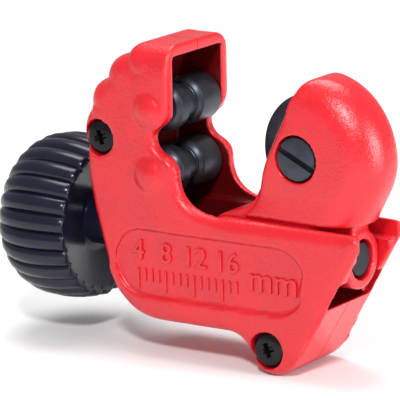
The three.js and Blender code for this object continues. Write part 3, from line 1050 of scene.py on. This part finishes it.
def knob_profile():
    """(radius, x) of the grip from its domed end, round the rim and down the dish to the hub."""
    left, face, hub_end = KNOB_LOW.x, KNOB_FACE, KNOB_HIGH.x
    grip = [(0, left), (2.8, left + 0.05), (5.4, left + 0.3), (7.6, left + 0.95), (9.4, left + 1.95),
            (10.9, left + 3.2), (11.9, left + 4.6), (12.5, left + 6.2), (12.8, left + 8.0),
            (12.86, left + 9.6), (12.75, left + 11.4), (12.5, left + 13.2), (12.15, left + 14.8),
            (11.95, face - 0.25), (11.7, face - 0.02), (11.3, face)]
    dish = [(10.9, face - 0.04), (10.6, face - 0.1), (10.3, face - 0.17), (9.9, face - 0.27),
            (7.6, face - 0.9), (5.2, face - 1.5), (4.4, face - 1.75)]
    hub = [(3.95, face - 1.6), (3.9, face - 1.2), (3.9, hub_end - 0.4), (3.8, hub_end - 0.15),
           (3.5, hub_end), (2.95, hub_end), (2.95, hub_end - 2), (0, hub_end - 2)]
    return grip + dish + hub


def flute(bm, ribs, depth):
    """Presses grooves between the ribs, which fade out over the domed end and the dish."""
    for v in bm.verts:
        radius = Vector((v.co.y, v.co.z)).length
        if radius < 6 or v.co.x > KNOB_FACE + 0.1:
            continue
        phase = (math.atan2(v.co.z, v.co.y) / (2 * math.pi) * ribs) % 1
        groove = (1 - math.sin(math.pi * phase) ** 0.55)
        fade = min(1.0, max(0.0, (radius - 6.5) / 3.5))
        if v.co.x > KNOB_FACE - 1.2:
            fade *= min(1.0, max(0.0, (radius - 10.6) / 0.7))
        scale = 1 - depth * groove * fade / radius
        v.co.y *= scale
        v.co.z *= scale


class TUBECUTTER_OT_knob(bpy.types.Operator):
    """Mould the ribbed knob"""
    bl_idname = "tubecutter.knob"
    bl_label = "Knob"

    def execute(self, context):
        s = settings()
        knob = turned(knob_profile(), "X", s.knob_ribs * 10)
        bm = bmesh.new()
        bm.from_mesh(knob.data)
        flute(bm, s.knob_ribs, s.rib_depth)
        bm.to_mesh(knob.data)
        bm.free()
        plastic = finished("glossy_knob_plastic", knob_plastic)
        put_in_frame(knob, "grip_knob", plastic, "spindle", ["knob"], 50)
        return {"FINISHED"}


class TUBECUTTER_OT_spindle(bpy.types.Operator):
    """Cut the lead screw's thread and finish the washers and the clip"""
    bl_idname = "tubecutter.spindle"
    bl_label = "Spindle"

    def execute(self, context):
        steel = finished("dull_oiled_steel", plain_steel)
        put_in_frame(lead_screw(), "lead_screw_threaded", steel, "spindle", ["lead_screw"],
                     TURNED_SHARP)
        for node in ("thrust_washer", "spring_washer", "retaining_clip"):
            mesh = frame["nodes"][node].data
            mesh.materials.clear()
            mesh.materials.append(steel)
        return {"FINISHED"}


# ---- the stage ----
def area_light(name, at, target, size, power):
    data = bpy.data.lights.new(name, "AREA")
    data.shape = "DISK"
    data.size = size
    data.energy = power
    obj = bpy.data.objects.new(name, data)
    bpy.context.scene.collection.objects.link(obj)
    obj.location = at
    obj.rotation_euler = (Vector(target) - Vector(at)).to_track_quat("-Z", "Y").to_euler()


def pale_floor():
    bm = bmesh.new()
    bmesh.ops.create_circle(bm, cap_ends=True, segments=96, radius=3.0)
    floor = as_object(bm, "floor")
    f = Finish("pale_floor")
    coords = object_coordinates(f.tree)
    f.colour(noise(f.tree, coords, 3.0), (0.86, 0.86, 0.87), (0.9, 0.9, 0.9))
    f.shader.inputs["Roughness"].default_value = 0.8
    floor.data.materials.append(f.material)


def camera_matrix(azimuth, elevation, roll, distance, target):
    a, e, r = (math.radians(v) for v in (azimuth, elevation, roll))
    back = Vector((math.sin(a) * math.cos(e), -math.cos(a) * math.cos(e), math.sin(e)))
    right = Vector((math.cos(a), math.sin(a), 0))
    up = back.cross(right)
    turned_right = right * math.cos(r) + up * math.sin(r)
    turned_up = up * math.cos(r) - right * math.sin(r)
    matrix = Matrix((turned_right, turned_up, back)).transposed().to_4x4()
    matrix.translation = Vector(target) + back * distance
    return matrix


class TUBECUTTER_OT_stage(bpy.types.Operator):
    """Set the camera, the floor and the soft studio lights"""
    bl_idname = "tubecutter.stage"
    bl_label = "Stage"

    def execute(self, context):
        scene = context.scene
        data = bpy.data.cameras.new("camera")
        data.sensor_width = 36
        data.lens = 315
        data.clip_start = 0.01
        camera = bpy.data.objects.new("camera", data)
        scene.collection.objects.link(camera)
        target = SCREW_AXIS + Vector((0.15, 0, 5.298)) * MM
        camera.matrix_world = camera_matrix(35, 14, -1, 0.529, target)
        scene.camera = camera
        pale_floor()
        world = bpy.data.worlds.new("studio")
        world.use_nodes = True
        backdrop = world.node_tree.nodes["Background"]
        backdrop.inputs["Color"].default_value = (1, 1, 1, 1)
        backdrop.inputs["Strength"].default_value = 0.42
        scene.world = world
        scene.view_settings.view_transform = "Standard"
        middle = SCREW_AXIS
        area_light("key", (0.22, -0.4, 0.42), middle, 0.08, 2.4)
        area_light("side", (0.6, 0.02, 0.16), middle, 0.3, 2.6)
        area_light("top", (-0.1, 0.1, 0.6), middle, 0.4, 2.6)
        return {"FINISHED"}


class TUBECUTTER_PT_sidebar(bpy.types.Panel):
    """The tube cutter's pieces and settings"""
    bl_idname = "TUBECUTTER_PT_sidebar"
    bl_label = "Tube Cutter"
    bl_space_type = "VIEW_3D"
    bl_region_type = "UI"
    bl_category = "Tube Cutter"

    def draw(self, context):
        layout = self.layout
        for name in TubeCutterSettings.__annotations__:
            layout.prop(context.scene.tube_cutter, name)
        for operator in OPERATORS:
            layout.operator(operator.bl_idname)


OPERATORS = (
    TUBECUTTER_OT_stage,
    TUBECUTTER_OT_shells,
    TUBECUTTER_OT_size_scale,
    TUBECUTTER_OT_carriage,
    TUBECUTTER_OT_rollers,
    TUBECUTTER_OT_cutting_wheel,
    TUBECUTTER_OT_fasteners,
    TUBECUTTER_OT_knob,
    TUBECUTTER_OT_spindle,
)
CLASSES = (TubeCutterSettings, *OPERATORS, TUBECUTTER_PT_sidebar)


def register():
    for cls in CLASSES:
        bpy.utils.register_class(cls)
    bpy.types.Scene.tube_cutter = PointerProperty(type=TubeCutterSettings)


def unregister():
    del bpy.types.Scene.tube_cutter
    for cls in reversed(CLASSES):
        bpy.utils.unregister_class(cls)


def main():
    register()
    for operator in OPERATORS:
        group, name = operator.bl_idname.split(".")
        getattr(getattr(bpy.ops, group), name)()


if __name__ == "__main__":
    main()
